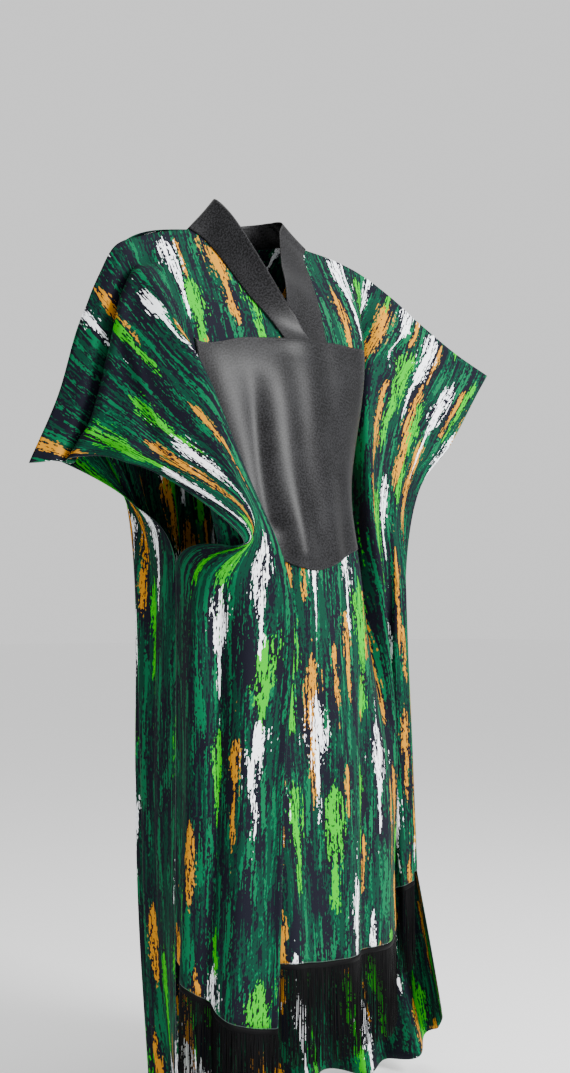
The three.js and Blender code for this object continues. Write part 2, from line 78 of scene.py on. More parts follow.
FRONT_FOLDS = [  # name, s, chest, edge, waist, knee, hem
    ("selvedge_right", -650, (-272, -60, -407), (-151, -185, -529), (-190, -60, -560),
     (-189, -60, -862), (-187, -60, -1164)),
    ("sleeve_low", -540, (-255, -88, -395), (-140, -190, -512), (-182, -128, -605),
     (-186, -132, -900), (-189, -118, -1205)),
    ("sleeve_mid", -430, (-242, -92, -335), (-140, -184, -475), (-132, -170, -605),
     (-142, -172, -905), (-158, -165, -1243)),
    ("pleat_edge", -330, (-232, -88, -240), (-157, -160, -392), (-66, -192, -605),
     (-82, -194, -910), (-93, -194, -1254)),
    ("pleat_fold", -275, (-222, -82, -170), (-170, -132, -300), (-100, -166, -600),
     (-110, -164, -900), (-116, -162, -1230)),
    ("pleat_back", -225, (-207, -80, -170), (-194, -110, -345), (-144, -130, -600),
     (-140, -132, -895), (-142, -130, -1200)),
    ("panel_right", -180, (-182, -98, -214), (-158, -107, -430), (-114, -122, -600),
     (-112, -124, -890), (-108, -124, -1180)),
    ("chest_right", -90, (-92, -108, -205), (-88, -138, -430), (-62, -146, -600),
     (-45, -150, -890), (-30, -160, -1178)),
    ("centre", 0, (0, -112, -198), (-2, -144, -430), (12, -156, -600),
     (30, -150, -890), (40, -150, -1187)),
    ("chest_left", 90, (92, -104, -194), (82, -130, -430), (90, -134, -600),
     (104, -134, -890), (104, -134, -1188)),
    ("panel_left", 180, (176, -80, -190), (140, -88, -430), (162, -96, -600),
     (180, -108, -890), (178, -108, -1191)),
    ("valley_near", 230, (206, -40, -188), (170, -34, -430), (196, -42, -600),
     (226, -84, -890), (226, -88, -1193)),
    ("valley", 285, (220, 18, -190), (198, 50, -430), (216, 36, -600),
     (266, -32, -880), (268, -54, -1188)),
    ("wing_edge", 340, (224, -40, -222), (211, -52, -450), (252, -36, -600),
     (304, -20, -880), (302, -14, -1150)),
    ("wing_mid", 430, (326, -6, -262), (285, -4, -440), (304, 8, -600),
     (322, 34, -880), (330, 16, -1134)),
    ("wing_low", 540, (424, 24, -292), (352, 14, -436), (344, -2, -600),
     (362, 4, -880), (364, 4, -1120)),
    ("selvedge_left", 650, (510, 45, -306), (406, 30, -412), (370, 26, -600),
     (384, 28, -852), (398, 30, -1104)),
]
FRONT_CREASES = [  # name, from (s, station), to, half width, depth
    ("sleeve_valley", (-240, 0.3), (-650, 0.42), 24, -22),
    ("cuff_tuck", (-540, 0.8), (-650, 0.95), 40, 12),
    ("side_fold", (-560, 3.2), (-575, 5), 28, 14),
    ("thigh_hollow", (-490, 3.0), (-500, 5), 26, -14),
    ("thigh_fold", (-420, 3.1), (-430, 5), 26, 8),
    ("skirt_hollow", (-40, 3.4), (-50, 5), 34, -8),
    ("skirt_fold", (60, 3.6), (70, 5), 34, 9),
    ("skirt_hollow_left", (135, 3.6), (150, 5), 26, -10),
    ("wing_hollow", (385, 1.2), (390, 3.4), 24, -10),
    ("wing_fold", (480, 1.0), (485, 5), 28, 12),
    ("wing_hollow_low", (590, 1.5), (590, 5), 26, -9),
]
FRONT_SMALL_CREASES = [  # the same, mostly narrower
    ("sleeve_pull", (-300, 0.25), (-470, 1.1), 12, 2.4),
    ("sleeve_pull_low", (-350, 0.4), (-560, 1.2), 14, -2.6),
    ("cuff_bend", (-590, 0.35), (-560, 0.9), 16, 3.0),
    ("sleeve_valley_deep", (-290, 0.28), (-650, 0.37), 15, -16),
    ("sleeve_ridge", (-280, 0.46), (-650, 0.54), 14, 8),
    ("shoulder_pull", (-150, 0.3), (-215, 1.0), 12, 2.0),
    ("shoulder_pull_left", (160, 0.3), (205, 0.95), 12, 2.2),
    ("wing_pull", (300, 0.2), (420, 1.1), 13, 3.0),
    ("wing_pull_low", (360, 0.3), (520, 1.0), 13, -2.6),
    ("wing_cuff", (560, 0.3), (600, 1.2), 15, 3.0),
    ("panel_ridge", (-32, 1.14), (-22, 2.7), 26, 6.0),
    ("panel_trough", (-86, 1.32), (-80, 2.4), 22, -7.0),
    ("panel_sag", (90, 1.5), (100, 2.5), 40, -2.0),
    ("skirt_wave_right", (-150, 3.0), (-160, 5), 18, 3.4),
    ("skirt_wave_centre", (10, 3.0), (5, 5), 20, -2.8),
    ("skirt_wave_left", (100, 3.2), (105, 5), 18, 3.2),
    ("side_wave", (-370, 3.2), (-365, 5), 16, -3.4),
    ("side_wave_low", (-520, 3.6), (-530, 5), 15, 3.6),
    ("wing_arm_crease", (410, 0.25), (350, 0.8), 10, -9),
    ("wing_arm_ridge", (440, 0.25), (378, 0.85), 12, 6),
    ("wing_low_crease", (520, 0.7), (470, 2.2), 10, -8),
    ("wing_wave", (330, 3.0), (325, 5), 14, -3.0),
    ("wing_wave_low", (440, 3.2), (445, 5), 15, -3.2),
]
CREASE_END = 0.25  # a crease has half its depth at its start, and all of it from this share of its length
# the right sleeve's overlapping fold: from and to in (s, station), the rest in mm
SLEEVE_FOLD = {"from": (-240, 0.32), "to": (-650, 0.44), "lap": 20, "rise": 10, "fall": 90, "full after": 90}
RIPPLE_ACROSS = (70, 170)  # shortest and longest wave across the cloth
RIPPLE_DOWN = (350, 900)  # and down it
FRONT_RIPPLE = {"seed": 3, "count": 5, "depth": 1.1}


def tangents(keys, values):
    """Slope at each key: the mean of its two neighbours' slopes, the nearer one counting more."""
    step = np.diff(keys).reshape((-1,) + (1,) * (values.ndim - 1))
    slope = np.diff(values, axis=0) / step
    middle = (slope[:-1] * step[1:] + slope[1:] * step[:-1]) / (step[:-1] + step[1:])
    return np.concatenate([slope[:1], middle, slope[-1:]])


def through(keys, values, at):
    """Smooth curve through values, a row per key, at every number of the array `at`: a straight run from
    key to key, bent at both ends to the slopes there.

    Where a row of values is itself a grid whose first axis goes with `at`, each takes its own part."""
    keys = np.asarray(keys, float)
    values = np.asarray(values, float)
    i = np.clip(np.searchsorted(keys, at) - 1, 0, len(keys) - 2)
    slope = tangents(keys, values)
    own = (np.arange(len(at)),) if values.ndim > 2 else ()
    start, end = values[(i, *own)], values[(i + 1, *own)]
    slope_start, slope_end = slope[(i, *own)], slope[(i + 1, *own)]
    more = (1,) * (start.ndim - np.ndim(at))
    span = (keys[i + 1] - keys[i]).reshape(np.shape(at) + more)
    f = ((at - keys[i]) / (keys[i + 1] - keys[i])).reshape(np.shape(at) + more)
    rise = end - start
    bend = (slope_start * span - rise) * (1 - f) + (rise - slope_end * span) * f
    return start + f * rise + f * (1 - f) * bend


def smooth(x, start, end):
    """0 below start, 1 above end, an S-shaped rise between."""
    f = np.clip((x - start) / (end - start), 0, 1)
    return f * f * (3 - 2 * f)


def hang(folds, s, v):
    """Places of the unfolded cloth for columns s (C,) and stations v (C, R): down each fold line, then
    smoothly across from one line to the next. Below the waist a selvedge hangs straight."""
    starts = through([row[1] for row in SHOULDER_LINE], [row[2] for row in SHOULDER_LINE],
                     np.array([float(row[1]) for row in folds]))
    lines = []
    for start, (_, line_s, *places) in zip(starts, folds):
        down = np.array([start, *places], float)
        keys = np.arange(len(down))
        line = through(keys, down, v)
        if abs(line_s) == HALF_WIDTH:
            straight = np.stack([np.interp(v, keys, one_axis) for one_axis in down.T], -1)
            line = np.where(v[..., None] > WAIST, straight, line)
        lines.append(line)
    return through([row[1] for row in folds], np.stack(lines), s)


def normals_of(grid, outward):
    """Unit normals of a grid of places (C, R, 3), from its neighbours across and down."""
    across = np.gradient(grid, axis=0)
    down = np.gradient(grid, axis=1)
    normal = np.cross(across, down) * outward
    return normal / np.linalg.norm(normal, axis=-1, keepdims=True)


def crease_depth(creases, s, v):
    """Sum of straight soft creases: the depth of each falls away from its line as a bell curve, the
    exponential of minus the squared ratio of distance to half width."""
    total = np.zeros_like(v)
    x, y = np.broadcast_to(s[:, None], v.shape), v * STATION
    for _, start, end, half_width, depth in creases:
        ax, ay = start[0], start[1] * STATION
        bx, by = end[0] - ax, end[1] * STATION - ay
        f = np.clip(((x - ax) * bx + (y - ay) * by) / (bx * bx + by * by), 0, 1)
        away = np.hypot(x - ax - f * bx, y - ay - f * by) / half_width
        total += depth * np.exp(-away * away) * smooth(f, -CREASE_END, CREASE_END)
    return total


def ripple(s, v, seed, count, depth):
    """The slight unevenness of hanging cotton: a few long soft waves of random direction, each the sine of
    one turn for every wave length across and down."""
    random = np.random.default_rng(seed)
    total = np.zeros_like(v)
    for _ in range(count):
        across = random.uniform(*RIPPLE_ACROSS)
        down = random.uniform(*RIPPLE_DOWN) * random.choice([-1, 1])
        start = random.uniform(0, 2 * math.pi)
        total += np.sin(2 * math.pi * (s[:, None] / across + v * STATION / down) + start)
    return total * depth / math.sqrt(count)


def front_depth(s, v):
    """How far the front's folds stand out from its unfolded form."""
    folds = crease_depth(FRONT_CREASES, s, v) + crease_depth(FRONT_SMALL_CREASES, s, v)
    return (folds + ripple(s, v, **FRONT_RIPPLE)) * smooth(v, 0, FRONT_STIFF)


def lap(s, v):
    """How far the right sleeve's front laps upwards over its crease: a step of the lap's size across the
    crease line, which dies away down the cloth and towards the shoulder."""
    (s0, v0), (s1, v1) = SLEEVE_FOLD["from"], SLEEVE_FOLD["to"]
    below = (v - v0 - (v1 - v0) * (s[:, None] - s0) / (s1 - s0)) * STATION
    step = smooth(below, -SLEEVE_FOLD["rise"] / 2, SLEEVE_FOLD["rise"] / 2)
    fading = 1 - smooth(below, SLEEVE_FOLD["rise"], SLEEVE_FOLD["fall"])
    return SLEEVE_FOLD["lap"] * step * fading * smooth(-s[:, None], -s0, -s0 + SLEEVE_FOLD["full after"])


def sheet_grid(folds, depth, outward, s, v):
    """Places of a sheet's cloth at columns s and stations v: the unfolded form, moved out along its normals
    by the folds' depth. The front is also pushed up along its columns by the sleeve's lap."""
    form = hang(folds, s, v)
    grid = form + normals_of(form, outward) * depth(s, v)[..., None]
    if folds is FRONT_FOLDS:
        down = np.gradient(form, axis=1)
        grid -= down / np.linalg.norm(down, axis=-1, keepdims=True) * lap(s, v)[..., None]
    return grid


GATHERED = 0.25  # share of the print's width that follows the gathered cloth and not the flat column
RULED_COLUMNS = 131  # the cloth is measured on this many columns and rows
RULED_ROWS = 240


def print_places(folds, depth, outward, s, v):
    """Where each place lies on the print: across, partly the flat column and partly the distance along the
    cloth from the middle, and down, the distance along the column from the shoulder line."""
    every = np.linspace(0, len(folds[0]) - 2, RULED_ROWS)
    fine = np.unique(np.concatenate([np.linspace(-HALF_WIDTH, HALF_WIDTH, RULED_COLUMNS), s]))
    grid = sheet_grid(folds, depth, outward, fine, np.broadcast_to(every, (len(fine), len(every))))
    down = np.linalg.norm(np.diff(grid, axis=1), axis=-1)
    down = np.concatenate([np.zeros((len(fine), 1)), np.cumsum(down, axis=1)], axis=1)
    across = np.linalg.norm(np.diff(grid, axis=0), axis=-1)
    across = np.concatenate([np.zeros((1, len(every))), np.cumsum(across, axis=0)])
    across = (across - across[np.argmin(np.abs(fine))]) * GATHERED + fine[:, None] * (1 - GATHERED)
    columns = np.searchsorted(fine, s)
    return np.stack([[np.interp(rows, every, run[column]) for rows, column in zip(v, columns)]
                     for run in (across, down)], -1)


def grid_faces(grid, outward):
    """The four-cornered faces of a grid of places (C, R, 3), their fronts to the cloth's outside."""
    columns, rows = grid.shape[:2]
    index = np.arange(columns * rows).reshape(columns, rows)
    corners = [index[:-1, :-1], index[:-1, 1:], index[1:, 1:], index[1:, :-1]]
    if outward > 0:
        corners.reverse()
    return np.stack(corners, -1).reshape(-1, 4)


def cloth_object(name, grid, flat, edge, outward, material, thickness):
    """A wall of cloth on a grid of places (C, R, 3), all in millimetres. flat (C, R, 2) is where each place
    lies on the flat cut, and edge (C, R) its distance from the nearest turned, folded or sewn edge."""
    faces = grid_faces(grid, outward)
    mesh = bpy.data.meshes.new(name)
    mesh.from_pydata((grid.reshape(-1, 3) * MM).tolist(), [], faces.tolist())
    mesh.uv_layers.new(name="flat")
    mesh.uv_layers["flat"].data.foreach_set("uv", (flat.reshape(-1, 2)[faces.ravel()] * MM).ravel())
    mesh.attributes.new("edge", "FLOAT", "POINT").data.foreach_set("value", edge.ravel() * MM)
    mesh.polygons.foreach_set("use_smooth", np.ones(len(faces), bool))
    mesh.materials.append(material)
    mesh.update()
    thing = bpy.data.objects.new(name, mesh)
    bpy.context.collection.objects.link(thing)
    wall = thing.modifiers.new("wall", "SOLIDIFY")
    wall.thickness = thickness * MM
    wall.offset = 0
    return thing


class Term:
    """A material socket that takes part in arithmetic: each operator adds one Math node."""

    def __init__(self, paint, socket):
        self.paint = paint
        self.socket = socket

    def __add__(self, other):
        return self.paint.math("ADD", self, other)

    def __sub__(self, other):
        return self.paint.math("SUBTRACT", self, other)

    def __rsub__(self, other):
        return self.paint.math("SUBTRACT", other, self)

    def __mul__(self, other):
        return self.paint.math("MULTIPLY", self, other)

    def __truediv__(self, other):
        return self.paint.math("DIVIDE", self, other)

    __radd__ = __add__
    __rmul__ = __mul__


class Paint:
    """A material and its nodes."""

    def __init__(self, name, **constants):
        self.material = bpy.data.materials.new(name)
        self.material.use_nodes = True
        self.tree = self.material.node_tree
        self.shader = self.tree.nodes["Principled BSDF"]
        self.finish(**constants)

    def feed(self, socket, value):
        """Links a term to a socket, or sets a constant."""
        if isinstance(value, Term):
            self.tree.links.new(value.socket, socket)
        else:
            socket.default_value = value

    def node(self, kind, inputs, output=0, **settings):
        """Any node: its settings, its inputs by name or number, and the output that is read."""
        node = self.tree.nodes.new("ShaderNode" + kind)
        for key, value in settings.items():
            setattr(node, key, value)
        for key, value in inputs.items():
            self.feed(node.inputs[key], value)
        return Term(self, node.outputs[output])

    def math(self, operation, *values):
        return self.node("Math", dict(enumerate(values)), operation=operation)

    def ramp(self, value, start, end):
        """0 at start, 1 at end, smooth between."""
        return self.node("MapRange", {"Value": value, "From Min": start, "From Max": end},
                         interpolation_type="SMOOTHSTEP")

    def point(self, x, y, z=0.0):
        return self.node("CombineXYZ", {0: x, 1: y, 2: z})

    def noise(self, u, t, kind, layer=0.0):
        """Soft noise on the flat cloth. kind holds its size across and down in mm, its own layer, detail
        and roughness; another layer is another pattern of the same kind."""
        across, down, own_layer, detail, roughness = kind
        return self.node("TexNoise", {"Vector": self.point(u / across, t / down, own_layer + layer),
                                      "Scale": 1.0, "Detail": detail, "Roughness": roughness},
                         noise_dimensions="3D")

    def mix(self, factor, first, second):
        """The first colour where factor is 0, the second where it is 1. The node numbers its colours 6 and
        7, and the mixed one 2."""
        return self.node("Mix", {0: factor, 6: first, 7: second}, output=2, data_type="RGBA")

    def bump(self, height, depth, strength):
        return self.node("Bump", {"Height": height, "Distance": depth * MM, "Strength": strength})

    def on_the_cloth(self):
        """Places on the flat cloth, across and down, and the distance from its nearest edge, in mm."""
        flat = self.node("SeparateXYZ", {0: self.node("UVMap", {}, uv_map="flat")})
        edge = self.node("Attribute", {}, output=2, attribute_name="edge")
        return flat / MM, Term(self, flat.socket.node.outputs[1]) / MM, edge / MM

    def finish(self, **results):
        """Feeds the shader's inputs, named with _ for a space."""
        for label, value in results.items():
            self.feed(self.shader.inputs[label.replace("_", " ")], value)
        return self.material


def ink(red, green, blue):
    """A colour given as 0-255 screen values, for the shader."""
    parts = np.array([red, green, blue]) / 255
    linear = np.where(parts <= 0.04045, parts / 12.92, ((parts + 0.055) / 1.055) ** 2.4)
    return (*linear.tolist(), 1.0)


# The print: a navy ground streaked with two greens, under dry-brush strokes in lime, orange and white that
# run down the cloth.
NAVY = ink(13, 14, 25)
DEEP_GREEN = ink(0, 50, 36)
GREEN = ink(0, 88, 54)
LIME = ink(26, 164, 0)
ORANGE = ink(184, 122, 8)
WHITE = ink(248, 251, 255)
HEM_HIGHLIGHT = ink(96, 112, 108)  # painted highlight: the turned edge is lightened as if it caught the light
PRINT_START = 900.0  # mm: where the cut begins on the width of the endless print
# kinds of noise: size across, size down (mm), layer, detail, roughness
BRISTLES = (4.2, 60, 0.0, 1.0, 0.6)
INK_GRAIN = (3.4, 8, 4.0, 1.0, 0.6)
PATCHES = (40, 150, 7.0, 0.0, 0.5)
STREAKS = (11, 100, 12.0, 2.0, 0.5)
BANDS = (15, 130, 21.0, 1.0, 0.5)
DABS = (9, 44, 0.5, 1.0, 0.5)
SWAY = (60, 60, 0.0, 2.0, 0.5)
WEAVE = (0.9, 0.9, 2.0, 0.0, 0.5)
BRISTLE_BREAKS = 5  # how much the bristles and the ink's grain break up an edge
GRAIN_BREAKS = 4
PATCH_SHARE = 0.45  # the deep green follows the patches this much, and the streaks for the rest
GREEN_BREAKS = 0.13
DEEP_GREEN_EDGE = (0.515, 0.53)  # where the ink starts and is full
GREEN_EDGE = (0.6, 0.615)
# name, colour, cell width, cell length, half width, half length (mm), share of cells, narrowing, seed
STROKES = [
    ("orange_thin", ORANGE, 112, 190, 8, 62, 0.48, 0.3, 37),
    ("orange", ORANGE, 84, 286, 13, 116, 0.46, 0.5, 23),
    ("lime", LIME, 98, 290, 17, 108, 0.7, 0.55, 11),
    ("white", WHITE, 94, 282, 15, 100, 0.72, 0.75, 53),
]
# a stroke's size goes from the least one to that and the spread more; its length follows by a share
LEAST_SIZE = 0.6
SIZE_SPREAD = 0.7
LENGTH_FOLLOWS = 0.6
SWAY_REACH = 14  # mm
# along a stroke -1 is its head and 1 its tail: where it widens, narrows, and gives out at both ends
WIDENS = (-1.0, -0.5)
NARROWS = (-0.3, 0.35)
GIVES_OUT = (0.72, 1.05)
HEAD_WIDTH = 0.4
# how much ink there is at the middle, and how fast it goes at the sides, at the ends and between dabs
FULL_INK = 1.1
SIDES = 1.15
ENDS = 1.9
BETWEEN_DABS = 2.4
INK_EDGE = (0.32, 0.4)
# the edge is turned in 10 mm; in mm from it: the painted highlight along its fold, its rounding and the
# turning's end
FOLD_HIGHLIGHT_SPAN = (1.5, 0.7)
FOLD_HIGHLIGHT_STRENGTH = 0.55
EDGE_ROUND = (0.0, 1.2)
TURNING_END = (9.0, 10.2)
COTTON_RELIEF = {"turned edge": 0.3, "weave": 0.12}
COTTON_BUMP = (0.5, 0.6)  # depth in mm, strength


def stroke_mask(paint, u, t, rough, row):
    """1 inside a row's strokes. Each cell of a jittered grid holds one stroke or none. A stroke is widest
    near its head, narrows to a tail, and breaks up where the bristles run dry: ink is left where the full
    amount, less the distance from the stroke's line and ends, and changed by dabs and bristles, is enough."""
    _, _, cell_width, cell_length, half_width, half_length, share, narrowing, seed = row
    column = paint.math("FLOOR", u / cell_width)
    shift = paint.node("TexWhiteNoise", {"Vector": paint.point(column, seed)})
    level = t / cell_length + shift
    line = paint.math("FLOOR", level)
    draw = paint.node("TexWhiteNoise", {"Vector": paint.point(column, line, seed)}, output=1)
    side = paint.node("SeparateColor", {0: draw})
    drop, chance = (Term(paint, side.socket.node.outputs[i]) for i in (1, 2))
    size = LEAST_SIZE + chance * (SIZE_SPREAD / share)
    dabs = paint.noise(u, t, DABS, seed)
    sway = paint.noise(u, t, SWAY, seed)
    room = cell_width / 2 - half_width
    x = u - (column + 0.5) * cell_width + (side - 0.5) * room + (sway - 0.5) * SWAY_REACH
    y = (level - line - 0.5) * cell_length + (drop - 0.5) * (cell_length / 2 - half_length)
    along = y / (half_length * (size * LENGTH_FOLLOWS + (1 - LENGTH_FOLLOWS)))
    tail = paint.ramp(along, *NARROWS)
    head = paint.ramp(along, *WIDENS)
    ends = paint.ramp(paint.math("ABSOLUTE", along), *GIVES_OUT)
    width = (1 - tail * narrowing) * (HEAD_WIDTH + head * (1 - HEAD_WIDTH)) * (size * half_width)
    cover = FULL_INK - paint.math("ABSOLUTE", x) / width * SIDES - ends * ENDS + (dabs - 0.5) * BETWEEN_DABS
    inked = paint.ramp(cover + rough, *INK_EDGE)
    return inked * paint.math("LESS_THAN", chance, share)


def printed_cotton():
    """Screen-printed plain weave: each ink lies over the one before it, and a painted highlight lightens the
    turned edges.
    """
    paint = Paint("printed_cotton", Roughness=0.82, Specular_IOR_Level=0.1)
    u, t, edge = paint.on_the_cloth()
    u = u + PRINT_START
    rough = (paint.noise(u, t, BRISTLES) - 0.5) * BRISTLE_BREAKS
    rough = rough + (paint.noise(u, t, INK_GRAIN) - 0.5) * GRAIN_BREAKS
    lines = paint.noise(u, t, PATCHES) * PATCH_SHARE + paint.noise(u, t, STREAKS) * (1 - PATCH_SHARE)
    cloth = paint.mix(paint.ramp(lines + rough * GREEN_BREAKS, *DEEP_GREEN_EDGE), NAVY, DEEP_GREEN)
    bands = paint.noise(u, t, BANDS) + rough * GREEN_BREAKS
    cloth = paint.mix(paint.ramp(bands, *GREEN_EDGE), cloth, GREEN)
    for row in STROKES:
        cloth = paint.mix(stroke_mask(paint, u, t, rough, row), cloth, row[1])
    # painted highlight: the print's colour is lightened towards grey within 1.5 mm of a selvedge or hem
    cloth = paint.mix(paint.ramp(edge, *FOLD_HIGHLIGHT_SPAN) * FOLD_HIGHLIGHT_STRENGTH, cloth, HEM_HIGHLIGHT)
    turned = paint.ramp(edge, *TURNING_END) + paint.ramp(edge, *EDGE_ROUND)
    height = turned * COTTON_RELIEF["turned edge"] + paint.noise(u, t, WEAVE) * COTTON_RELIEF["weave"]
    return paint.finish(Base_Color=cloth, Normal=paint.bump(height, *COTTON_BUMP))


cotton = printed_cotton()
COTTON_WALL = 0.9
COLUMN = 7.0  # mm from one column of the mesh to the next
FRONT_ROWS = (40, 112)  # rows of the mesh above and below the chest line
front_s = np.unique(np.concatenate([np.arange(-HALF_WIDTH, HALF_WIDTH, COLUMN), [V_SIDE, HALF_WIDTH]]))


def v_neck(s):
    """Station where the front neckline cuts a column: the point's, less by an even slope to each side."""
    side = np.where(s < V_SIDE, NECK_HALF + V_SIDE, NECK_HALF - V_SIDE)
    return V_POINT * np.maximum(0, 1 - np.abs(s - V_SIDE) / side)


def stations(start, above_chest, below_chest, last):
    """Stations of every column: from its own start to the chest, then evenly to the last."""
    above = start[:, None] + (1 - start[:, None]) * np.linspace(0, 1, above_chest + 1)[None, :-1]
    below = np.linspace(1, last, below_chest + 1)
    return np.concatenate([above, np.broadcast_to(below, (len(start), len(below)))], axis=1)


def edge_distance(s, flat):
    """How far each place of a sheet is from its nearer selvedge or its hem, in mm."""
    t = flat[..., 1]
    return np.minimum(HALF_WIDTH - np.abs(s[:, None]), t[:, -1:] - t)


front_v = stations(v_neck(front_s), *FRONT_ROWS, FRONT_HEM)
front_grid = sheet_grid(FRONT_FOLDS, front_depth, -1, front_s, front_v)
front_flat = print_places(FRONT_FOLDS, front_depth, -1, front_s, front_v)
front_edge = edge_distance(front_s, front_flat)
front = cloth_object("kaftan_front", front_grid, front_flat, front_edge, -1, cotton, COTTON_WALL)
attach(front, "root")
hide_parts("front")

# ------------------------------------------------------------------ back
# One width of the same cloth, longer than the front, with a shallow round neckline and a straight hem. It
# hangs in even pleats from the shoulder blades.
NAPE = 0.16  # station of the back neckline's lowest place
BACK_HEM = 6
BACK_FOLDS = [  # name, s, chest, edge, waist, knee, hem, floor
    ("selvedge_right", -650, (-326, 90, -393), (-192, 78, -454), (-190, -60, -560),
     (-189, -60, -862), (-187, -60, -1164), (-180, -60, -1466)),
    ("side_right", -540, (-299, 83, -328), (-184, 84, -458), (-196, 4, -590),
     (-188, 4, -890), (-174, 4, -1180), (-140, 4, -1478)),
    ("sleeve_right", -400, (-262, 84, -240), (-172, 104, -450), (-150, 84, -600),
     (-146, 80, -890), (-136, 78, -1180), (-111, 81, -1490)),
    ("shoulder_right", -250, (-196, 96, -200), (-136, 112, -430), (-104, 120, -600),
     (-98, 130, -890), (-86, 138, -1180), (-52, 148, -1494)),
    ("blade_right", -120, (-108, 108, -200), (-66, 116, -430), (-46, 128, -600),
     (-36, 146, -890), (-20, 156, -1180), (18, 168, -1496)),
    ("centre", 0, (0, 106, -200), (8, 112, -430), (22, 126, -600),
     (40, 150, -890), (62, 166, -1180), (96, 178, -1498)),
    ("blade_left", 120, (112, 108, -200), (92, 114, -430), (96, 124, -600),
     (124, 150, -890), (156, 172, -1180), (204, 184, -1500)),
    ("shoulder_left", 250, (216, 98, -210), (178, 110, -430), (176, 116, -600),
     (210, 142, -890), (262, 166, -1180), (326, 182, -1500)),
    ("sleeve_left", 400, (344, 82, -250), (262, 98, -430), (258, 100, -600),
     (296, 118, -885), (362, 140, -1170), (440, 140, -1492)),
    ("side_left", 540, (450, 72, -300), (350, 84, -450), (326, 66, -600),
     (356, 74, -860), (434, 90, -1130), (520, 102, -1430)),
    ("selvedge_left", 650, (520, 88, -316), (420, 76, -440), (370, 26, -600),
     (384, 28, -852), (398, 30, -1104), (474, 46, -1378)),
]
BACK_SMALL_CREASES = [  # name, from (s, station), to, half width, depth
    ("yoke_pull_right", (-140, 0.3), (-300, 1.2), 16, 3.0),
    ("yoke_pull_left", (150, 0.3), (320, 1.2), 16, 3.0),
    ("sleeve_drag_right", (-330, 0.4), (-520, 1.2), 16, -3.0),
    ("sleeve_drag_left", (340, 0.4), (560, 1.1), 16, -3.0),
    ("underarm_right", (-470, 1.5), (-420, 3.6), 18, 4.0),
    ("underarm_left", (480, 1.5), (440, 3.6), 18, 4.0),
    ("hip_drag_right", (-260, 2.2), (-330, 4.0), 14, -3.0),
    ("hip_drag_left", (250, 2.2), (330, 4.2), 14, -3.0),
    ("centre_fold", (20, 1.2), (-10, 4.5), 14, 2.6),
]
PLEATS = {"count": 9, "reach": 560, "depth": 26, "starts": 0.8, "full": 3.4, "fade": 90, "drift": 0.6,
          "drift_length": 90}
YOKE = {"depth": 46, "rounding": 0.6, "from": 150, "to": 300}  # fullness over the shoulder blades
BACK_RIPPLE = {"seed": 8, "count": 5, "depth": 1.4}
BACK_ROWS = (22, 138)


def back_depth(s, v):
    """Even pleats that deepen towards the hem, roundness at the shoulder blades, and small creases."""
    across = s[:, None]
    wave = np.cos(across / PLEATS["reach"] * math.pi * PLEATS["count"]
                  + PLEATS["drift"] * np.sin(across / PLEATS["drift_length"]))
    fade = 1 - smooth(np.abs(across), PLEATS["reach"] - PLEATS["fade"], PLEATS["reach"])
    pleats = PLEATS["depth"] * wave * smooth(v, PLEATS["starts"], PLEATS["full"]) * fade
    yoke = YOKE["depth"] * np.sin(math.pi * np.minimum(v, 1) ** YOKE["rounding"])
    yoke = yoke * (1 - smooth(np.abs(across), YOKE["from"], YOKE["to"]))
    small = crease_depth(BACK_SMALL_CREASES, s, v) + ripple(s, v, **BACK_RIPPLE)
    return pleats + yoke + small * smooth(v, 0, FRONT_STIFF)


back_s = np.unique(np.concatenate([np.arange(-HALF_WIDTH, HALF_WIDTH, COLUMN), [HALF_WIDTH]]))
nape = NAPE * np.maximum(0, 1 - (back_s / NECK_HALF) ** 2)
back_v = stations(nape, *BACK_ROWS, BACK_HEM)
back_grid = sheet_grid(BACK_FOLDS, back_depth, 1, back_s, back_v)
back_flat = print_places(BACK_FOLDS, back_depth, 1, back_s, back_v)
back_edge = edge_distance(back_s, back_flat)
back = cloth_object("kaftan_back", back_grid, back_flat, back_edge, 1, cotton, COTTON_WALL)
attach(back, "root")
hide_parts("back")

# ------------------------------------------------------------------ chest panel
# A plastron of heavy charcoal satin, sewn flat on the front with a line of stitching 3 mm inside its edge.
# It has a straight top edge and a blunt point. Its form is the front's, moved out.
SATIN_CLOUD = (60, 90, 0.0, 3.0, 0.6)  # kinds of noise, as in the print
SATIN_THREAD = (0.7, 7, 3.0, 1.0, 0.5)
SATIN_SPECKLE = (3.0, 3.0, 9.0, 1.0, 0.5)
SATIN_DARK = ink(1, 1, 2)
SATIN_LIGHT = ink(30, 30, 32)
SATIN_TONES = (0.38, 0.62)
SPECKLE_SHARE = 0.7  # the tone follows the speckle this much, and the cloud for the rest
SATIN_ROUGHNESS = 0.34
CLOUD_ROUGHNESS = 0.14
SATIN_RELIEF = {"thread": 0.1, "speckle": 0.3, "stitch": 0.35, "edge": 0.6}
SATIN_BUMP = (0.6, 0.55)  # depth in mm, strength
STITCH_LINE = 3.0  # mm from the edge
STITCH_WIDTH = (0.0, 0.8)
SATIN_ROUND = (0.0, 1.5)
SATIN_WALL = 1.1


